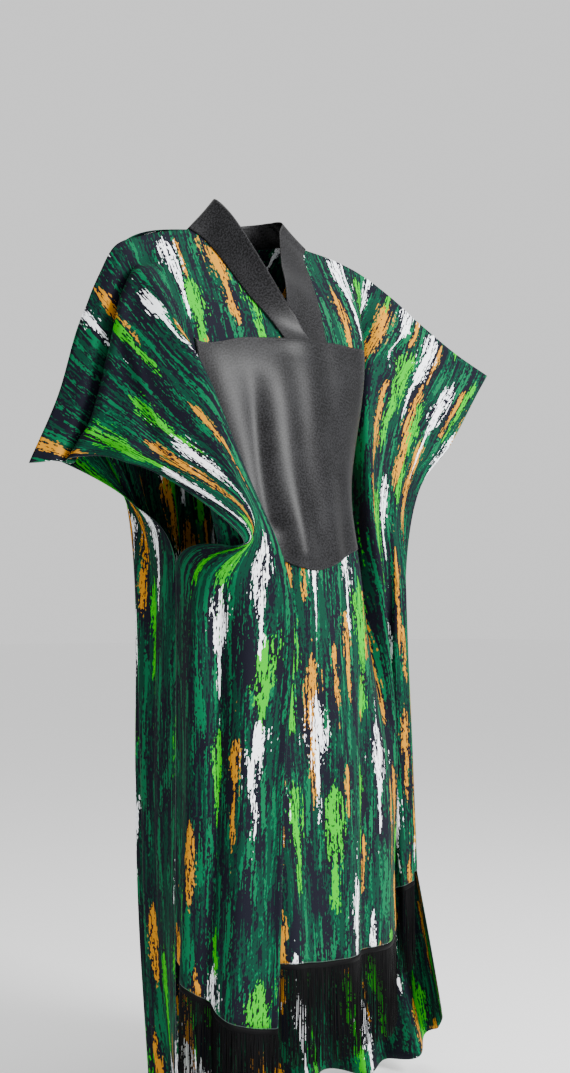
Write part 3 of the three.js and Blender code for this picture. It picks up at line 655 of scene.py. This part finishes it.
def black_satin():
    """A soft broad sheen, uneven in large clouds, over fine threads and a faint speckle."""
    paint = Paint("black_satin", Specular_IOR_Level=0.16)
    u, t, edge = paint.on_the_cloth()
    cloud = paint.noise(u, t, SATIN_CLOUD)
    thread = paint.noise(u, t, SATIN_THREAD)
    speckle = paint.noise(u, t, SATIN_SPECKLE)
    stitch = paint.ramp(paint.math("ABSOLUTE", edge - STITCH_LINE), *STITCH_WIDTH)
    rounded = paint.ramp(edge, *SATIN_ROUND)
    relief = SATIN_RELIEF
    height = thread * relief["thread"] + speckle * relief["speckle"] + stitch * relief["stitch"]
    bump = paint.bump(height + rounded * relief["edge"], *SATIN_BUMP)
    light = speckle * SPECKLE_SHARE + cloud * (1 - SPECKLE_SHARE)
    tone = paint.mix(paint.ramp(light, *SATIN_TONES), SATIN_DARK, SATIN_LIGHT)
    return paint.finish(Base_Color=tone, Roughness=SATIN_ROUGHNESS + cloud * CLOUD_ROUGHNESS, Normal=bump)


satin = black_satin()
PANEL_HALF = 180
PANEL_SIDE_END = 2.62  # station where its sides end
PANEL_POINT = 2.86  # station of its point
PANEL_LIFT = 1.7  # from the middle of the front's cloth to the middle of the panel's
PANEL_TOP = 0.985  # station of its top edge
# it rises by the lift, in mm, where it covers the collar's ends
PANEL_LAP = {"lift": 3.8, "middle": 28, "half width": 80, "down to": 1.12}
PANEL_COLUMNS = 73
PANEL_ROWS = 90
panel_s = np.linspace(-PANEL_HALF, PANEL_HALF, PANEL_COLUMNS)
panel_end = PANEL_POINT + (PANEL_SIDE_END - PANEL_POINT) * smooth(np.abs(panel_s) / PANEL_HALF, 0, 1)
panel_v = PANEL_TOP + (panel_end[:, None] - PANEL_TOP) * np.linspace(0, 1, PANEL_ROWS)
panel_grid = sheet_grid(FRONT_FOLDS, front_depth, -1, panel_s, panel_v)
panel_lap = np.exp(-((panel_s - PANEL_LAP["middle"]) / PANEL_LAP["half width"]) ** 4)[:, None]
panel_lap = panel_lap * PANEL_LAP["lift"] * (1 - smooth(panel_v, 1, PANEL_LAP["down to"]))
panel_grid = panel_grid + normals_of(panel_grid, -1) * (PANEL_LIFT + panel_lap)[..., None]
panel_flat = print_places(FRONT_FOLDS, front_depth, -1, panel_s, panel_v)
panel_t = panel_flat[..., 1]
panel_edge = np.minimum(PANEL_HALF - np.abs(panel_s[:, None]),
                        np.minimum(panel_t - panel_t[:, :1], panel_t[:, -1:] - panel_t))
panel = cloth_object("satin_chest_panel", panel_grid, panel_flat, panel_edge, -1, satin, SATIN_WALL)
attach(panel, "root")
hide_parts("chest_panel")

# ------------------------------------------------------------------ collar
# Two doubled bands of the same satin, folded along the inner edge. They meet at the centre back, stand round
# the neck and cross at the V, right over left. Their outer edges and lower ends are sewn to the cotton.
COLLAR_RIGHT = [  # name, outer edge, inner edge
    ("centre_back", (-0.02, 80, -25), (-0.02, 58, 30)),
    ("back_side", (-78, 64, -15), (-50, 44, 44)),
    ("neck_side", (-129, 5, -5), (-78, 2, 51)),
    ("shoulder", (-108, -17, -23), (-70, -24, 30)),
    ("collarbone", (-88, -41, -61), (-54, -48, -9)),
    ("chest", (-64, -78, -118), (-28, -84, -82)),
    ("v_point", (-44, -98, -151), (-3, -107, -139)),
    ("panel_edge", (-17, -116.5, -196), (38, -121, -193)),
]
COLLAR_LEFT = [  # name, outer edge, inner edge
    ("centre_back", (0.02, 80, -25), (0.02, 58, 30)),
    ("back_side", (72, 64, -15), (42, 44, 38)),
    ("neck_side", (114, 4, 1), (62, 2, 36)),
    ("shoulder", (100, -19, -19), (42, -20, 8)),
    ("collarbone", (94, -41, -60), (26, -46, -50)),
    ("chest", (86, -71, -106), (10, -78, -92)),
    ("v_point", (78, -97, -154), (-1, -97, -139)),
    ("panel_edge", (75, -111, -193), (-12, -113, -195)),
]
COLLAR_ALONG = 196
COLLAR_ACROSS = 20
COLLAR_ROLL = 1.6  # the folded band rounds out this far along its middle
COLLAR_CREASE = 1.3  # a small crease runs across each band at the side of the neck
CREASE_AT = 1.9  # its row at the outer edge
CREASE_SLANT = 0.4  # how many rows it goes back on its way to the inner edge
CREASE_WIDTH = 0.08
CENTRE_ROWS = 0.5  # the centre back seam shapes this many rows
SEAT_LIFT = 1.7  # from the middle of the cotton's wall to the middle of the satin's, where it is sewn on
CENTRE_SEAM = 0.12  # each half ends this far from the middle of the back
SEAT_REACH = 9  # a place of the band nearer than this to the cloth is kept outside it
CROSSING = (5.2, 6.2)  # rows over which the right band climbs onto the left one
CROSSING_LIFT = 1.9
LOWER_END = (6.2, 7.0)  # rows over which both bands come down onto the cloth, under the panel's top edge
SMOOTHED_OVER = 5  # the shift of the outer edge is a running mean of this many places
cloths = [BVHTree.FromPolygons(grid.reshape(-1, 3).tolist(), grid_faces(grid, outward).tolist())
          for grid, outward in ((front_grid, -1), (back_grid, 1))]


def seats(points, lift):
    """For each place of a grid, the nearest place that far outside the front or the back, how far away the
    cloth is, and how far the place itself is on the outside of it. lift is one number for each row."""
    found = []
    for row, row_lift in zip(points, lift):
        for point in row:
            near, normal, _, distance = min((tree.find_nearest(point.tolist()) for tree in cloths),
                                            key=lambda hit: hit[3])
            found.append([*(near + normal * row_lift), distance, (Vector(point) - near).dot(normal)])
    found = np.array(found).reshape(*points.shape[:-1], 5)
    return found[..., :3], found[..., 3], found[..., 4]


def seated(grid, at, lift):
    """The band with its outer edge and its lower end drawn down onto the cloth, and nothing of it inside:
    the outer edge's shift is smoothed and dies away towards the inner edge, then what is still inside, and
    the lower end, goes to its nearest seat."""
    shift = (seats(grid[:, :1], lift)[0] - grid[:, :1])[:, 0]
    beyond = SMOOTHED_OVER // 2
    ends = np.concatenate([shift[:1].repeat(beyond, 0), shift, shift[-1:].repeat(beyond, 0)])
    shift = sum(ends[i:i + len(shift)] for i in range(SMOOTHED_OVER)) / SMOOTHED_OVER
    grid = grid + shift[:, None] * ((1 - np.linspace(0, 1, grid.shape[1])) ** 2)[None, :, None]
    place, distance, height = seats(grid, lift)
    sewn = smooth(at, *LOWER_END)[:, None]
    inside = (distance < SEAT_REACH) & (height < lift[:, None])
    return grid + (place - grid) * np.where(inside, 1.0, sewn)[..., None]


def collar_band(name, node, rows, outward):
    """One half: curves through the rows' outer and inner edges, straight across from edge to edge, rounded
    out along the middle, creased at the side of the neck, and seated on the cloth."""
    keys = np.arange(len(rows))
    at = np.linspace(0, len(rows) - 1, COLLAR_ALONG + 1)
    outer = through(keys, [row[1] for row in rows], at)
    inner = through(keys, [row[2] for row in rows], at)
    share = np.linspace(0, 1, COLLAR_ACROSS + 1)
    grid = outer[:, None] + (inner - outer)[:, None] * share[None, :, None]
    roll = COLLAR_ROLL * np.sin(math.pi * share) * smooth(at, 0, CENTRE_ROWS)[:, None]
    from_crease = (at[:, None] - CREASE_AT + share * CREASE_SLANT) / CREASE_WIDTH
    crease = COLLAR_CREASE * np.exp(-(from_crease ** 2))
    lift = SEAT_LIFT + (CROSSING_LIFT * smooth(at, *CROSSING) if outward < 0 else np.zeros_like(at))
    grid = seated(grid + normals_of(grid, outward) * (roll + crease)[..., None], at, lift)
    side = np.sign(rows[0][1][0])
    sideways = side * grid[..., 0]
    sideways = sideways - (sideways[:1] - CENTRE_SEAM) * (1 - smooth(at, 0, CENTRE_ROWS))[:, None]
    grid[..., 0] = side * np.where(at[:, None] < 1, np.maximum(sideways, CENTRE_SEAM), sideways)
    middle = grid[:, COLLAR_ACROSS // 2]
    run = np.concatenate([[0], np.cumsum(np.linalg.norm(np.diff(middle, axis=0), axis=-1))])
    width = np.linalg.norm(inner - outer, axis=-1)[:, None] * share
    flat = np.stack([width, np.broadcast_to(run[:, None], width.shape)], -1)
    edge = np.minimum(width, width[:, -1:] - width)
    band = cloth_object(name, grid, flat, edge, outward, satin, SATIN_WALL)
    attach(band, "root")
    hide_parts(node)


collar_band("satin_collar_right", "collar_right", COLLAR_RIGHT, -1)
collar_band("satin_collar_left", "collar_left", COLLAR_LEFT, 1)

# ------------------------------------------------------------------ fringe
# Loose black rayon threads, 150 mm long, on a narrow woven heading sewn under the front hem. The heading
# follows the hem. The threads start inside it, taper, and hang in loose locks that sway a little.
FRINGE_REACH = 590  # the fringe ends at this s on both sides
HEADING_DROP = 0.8
HEADING_HEIGHT = 8
HEADING_WALL = 1.4
HEADING_MIDDLE = 0.5
THREADS = 620
THREAD_LENGTH = 150
LENGTH_SPREAD = (-7, 2)  # shortest and longest, against that
THREAD_RADIUS = 0.72
THREAD_TAPER = 0.3
THREAD_SIDES = 4
THREAD_RINGS = 7
SPACING = (0.1, 0.9)  # a thread's place within its share of the hem
LOCK_WIDTH = 14  # mm of hem to a lock
LOCKS_BEYOND = 30  # they go on this far past the hem's end
LOCK_SWAY = 3.2  # mm to each side at the tip, for most locks
SIDE_SWAY = 1.5  # and for a thread within its lock
DEPTH_SWAY = 1.6
BOW = 1.2
SIDE_CURVE = 1.6  # how late the sway grows on the way to the tip
DEPTH_CURVE = 1.4
HEM_STEP = 2  # mm along the hem to each side, for its direction
FRINGE_SEED = 17
DOWN = np.array([0, 0, -1.0])

black_yarn = Paint("black_fringe", Roughness=0.7, Specular_IOR_Level=0.08).finish(Base_Color=ink(3, 3, 4))
hem = front_grid[np.abs(front_s) <= FRINGE_REACH, -1]
hem_run = np.concatenate([[0], np.cumsum(np.linalg.norm(np.diff(hem, axis=0), axis=-1))])

heading_rows = np.array([0, HEADING_MIDDLE, 1])
heading_grid = np.stack([hem + DOWN * (HEADING_DROP + HEADING_HEIGHT * row) for row in heading_rows], axis=1)
run, height = np.broadcast_arrays(hem_run[:, None], HEADING_HEIGHT * heading_rows)
heading_edge = np.minimum(height, HEADING_HEIGHT - height)
heading = cloth_object("fringe_heading", heading_grid, np.stack([run, height], -1), heading_edge, -1,
                       black_yarn, HEADING_WALL)
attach(heading, "root")


def along_the_hem(at):
    """Places on the hem at distances from its right end."""
    return np.stack([np.interp(at, hem_run, hem[:, axis]) for axis in range(3)], -1)


random = np.random.default_rng(FRINGE_SEED)
root_run = (np.arange(THREADS) + random.uniform(*SPACING, THREADS)) * hem_run[-1] / THREADS
root = along_the_hem(root_run)
sideways = along_the_hem(root_run + HEM_STEP) - along_the_hem(root_run - HEM_STEP)
sideways[:, 2] = 0
sideways /= np.linalg.norm(sideways, axis=-1, keepdims=True)
forwards = np.cross(sideways, DOWN)
locks = np.arange(0, hem_run[-1] + LOCKS_BEYOND, LOCK_WIDTH)
side_sway = np.interp(root_run, locks, random.normal(0, LOCK_SWAY, len(locks)))
side_sway = side_sway + random.normal(0, SIDE_SWAY, THREADS)
depth_sway = random.normal(0, DEPTH_SWAY, THREADS)
bow = random.normal(0, BOW, THREADS)
root_height = HEADING_HEIGHT * HEADING_MIDDLE
length = THREAD_LENGTH + root_height + random.uniform(*LENGTH_SPREAD, THREADS)

# the threads' middle lines, (thread, ring, axis): straight down, with a sway that grows to the tip and a bow
f = np.linspace(0, 1, THREAD_RINGS)[None, :, None]
middle = (root + DOWN * (HEADING_DROP + root_height))[:, None] + DOWN * (length[:, None, None] * f)
to_the_side = side_sway[:, None, None] * f ** SIDE_CURVE + bow[:, None, None] * np.sin(math.pi * f)
middle = middle + sideways[:, None] * to_the_side
middle = middle + forwards[:, None] * (depth_sway[:, None, None] * f ** DEPTH_CURVE)
radius = THREAD_RADIUS * (1 - THREAD_TAPER * f[..., 0])
angles = np.arange(THREAD_SIDES) * 2 * math.pi / THREAD_SIDES + math.pi / 4
ring = (sideways[:, None, None] * np.cos(angles)[None, None, :, None]
        + forwards[:, None, None] * np.sin(angles)[None, None, :, None])
thread_points = middle[:, :, None] + ring * radius[..., None, None]
index = np.arange(THREADS * THREAD_RINGS * THREAD_SIDES).reshape(THREADS, THREAD_RINGS, THREAD_SIDES)
turned = np.roll(index, -1, axis=2)
walls = np.stack([index[:, :-1], index[:, 1:], turned[:, 1:], turned[:, :-1]], -1).reshape(-1, 4)
ends = np.concatenate([index[:, 0], index[:, -1, ::-1]])
mesh = bpy.data.meshes.new("fringe_threads")
mesh.from_pydata((thread_points.reshape(-1, 3) * MM).tolist(), [], walls.tolist() + ends.tolist())
mesh.materials.append(black_yarn)
threads = bpy.data.objects.new("fringe_threads", mesh)
bpy.context.collection.objects.link(threads)
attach(threads, "root")
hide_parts("fringe")

# ------------------------------------------------------------------ stage
# A plain pale floor 9 mm under the back hem, an even white surround, one large soft light before the wearer
# and one above.
FLOOR = -1.512
FLOOR_REACH = 40
floor_mesh = bpy.data.meshes.new("floor")
corners = [(x * FLOOR_REACH, y * FLOOR_REACH, FLOOR) for x, y in ((-1, -1), (1, -1), (1, 1), (-1, 1))]
floor_mesh.from_pydata(corners, [], [(0, 1, 2, 3)])
floor_mesh.materials.append(Paint("floor", Roughness=0.8).finish(Base_Color=ink(250, 250, 250)))
floor = bpy.data.objects.new("floor", floor_mesh)
bpy.context.collection.objects.link(floor)

world = bpy.data.worlds.new("studio")
world.use_nodes = True
world.node_tree.nodes["Background"].inputs["Color"].default_value = (1, 1, 1, 1)
world.node_tree.nodes["Background"].inputs["Strength"].default_value = 1.0
bpy.context.scene.world = world


def soft_light(name, place, aim, size, power):
    light = bpy.data.lights.new(name, "AREA")
    light.shape = "RECTANGLE"
    light.size, light.size_y = size
    light.energy = power
    lamp = bpy.data.objects.new(name, light)
    lamp.location = place
    lamp.rotation_euler = (Vector(aim) - Vector(place)).to_track_quat("-Z", "Y").to_euler()
    bpy.context.collection.objects.link(lamp)


soft_light("key", (1.0, -2.75, 0.6), (0, 0, -0.6), (1.0, 1.6), 230)
soft_light("top", (0.6, -0.6, 2.2), (0, 0, -0.5), (1.4, 1.4), 45)

# The camera stands before the wearer's right side, a little below the waist, and looks slightly up.
CAMERA_AZIMUTH = 36.0
CAMERA_DISTANCE = 2.3
CAMERA_HEIGHT = -0.646
LOOK_AZIMUTH = 37.37
LOOK_PITCH = 3.4
FOCAL_PIXELS = 1375
FRAME_HEIGHT_PIXELS = 1073
SENSOR_HEIGHT = 36
camera_data = bpy.data.cameras.new("camera")
camera_data.sensor_fit = "VERTICAL"
camera_data.sensor_height = SENSOR_HEIGHT
camera_data.lens = FOCAL_PIXELS / FRAME_HEIGHT_PIXELS * SENSOR_HEIGHT
camera = bpy.data.objects.new("camera", camera_data)
azimuth, look, pitch = (math.radians(angle) for angle in (CAMERA_AZIMUTH, LOOK_AZIMUTH, LOOK_PITCH))
camera.location = (-math.sin(azimuth) * CAMERA_DISTANCE, -math.cos(azimuth) * CAMERA_DISTANCE, CAMERA_HEIGHT)
ahead = Vector((math.sin(look) * math.cos(pitch), math.cos(look) * math.cos(pitch), math.sin(pitch)))
camera.rotation_euler = ahead.to_track_quat("-Z", "Y").to_euler()
bpy.context.collection.objects.link(camera)
bpy.context.scene.camera = camera
